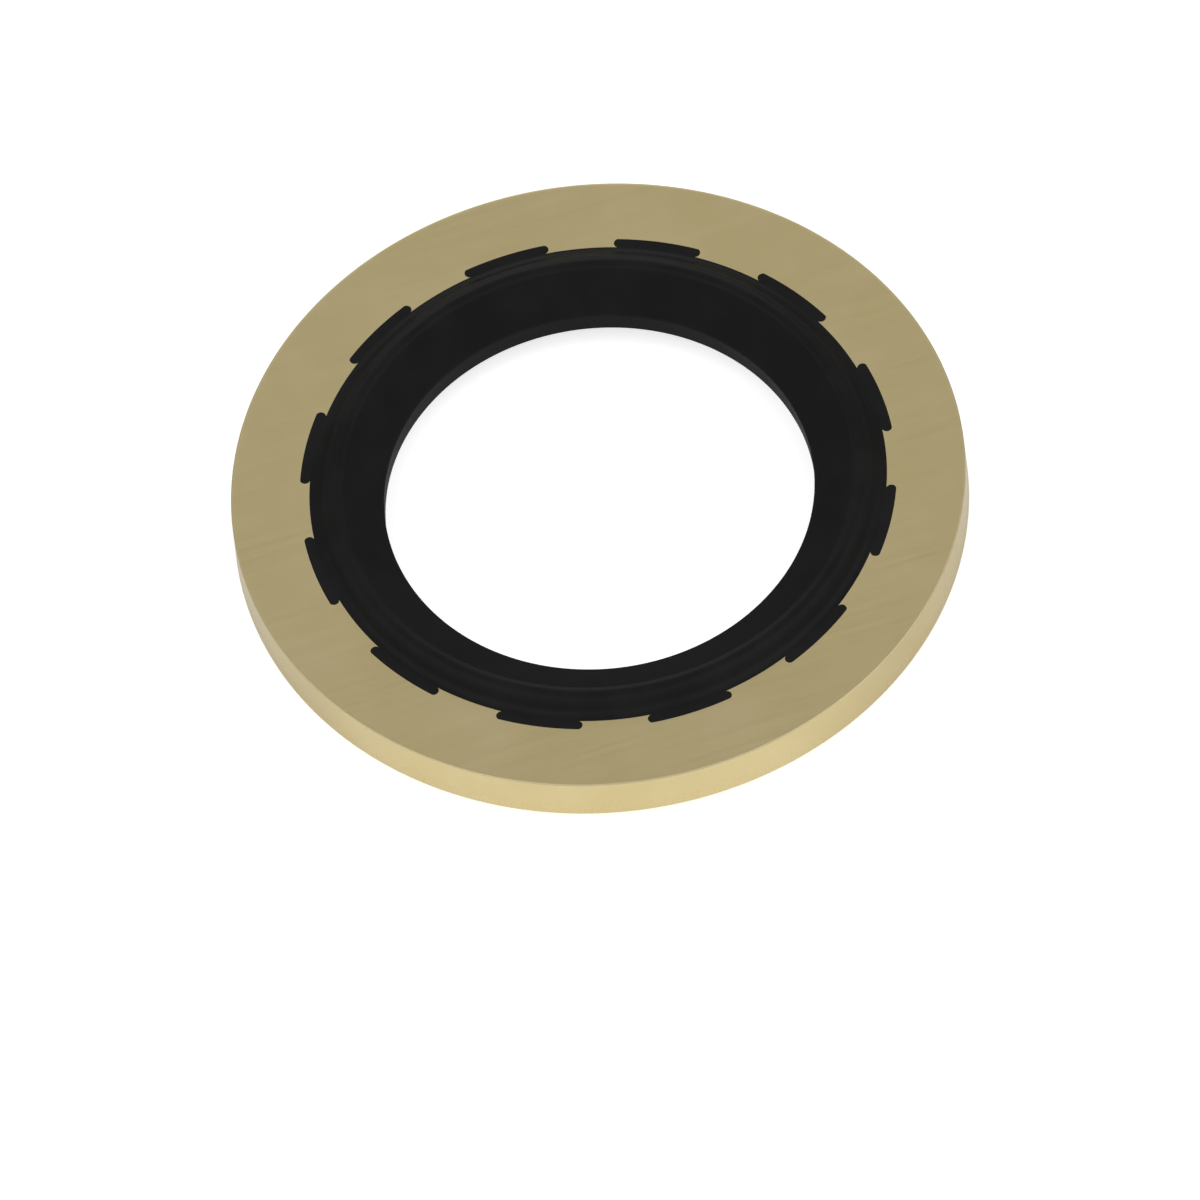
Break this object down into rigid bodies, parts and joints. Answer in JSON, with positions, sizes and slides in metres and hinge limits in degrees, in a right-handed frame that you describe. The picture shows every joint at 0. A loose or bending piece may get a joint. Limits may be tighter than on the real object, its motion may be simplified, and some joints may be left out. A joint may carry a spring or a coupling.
{
  "type": "sealing washer",
  "caption": "Flat plated metal ring with a black rubber seal moulded into its inner edge, beaded on both faces, that makes a screwed joint fluid-tight.",
  "frame": {"origin": "on the hole's axis, at half the washer's thickness", "axes": "+Z along the hole's axis, towards the upper face; +X through the middle of one lug"},
  "size_m": [0.0222, 0.0222, 0.0022],
  "materials": {
    "plated_metal": "satin",
    "seal_rubber": "satin"
  },
  "bodies": {
    "root": {"metal_ring": "plated_metal", "rubber_seal": "seal_rubber"}
  },
  "joints": []
}
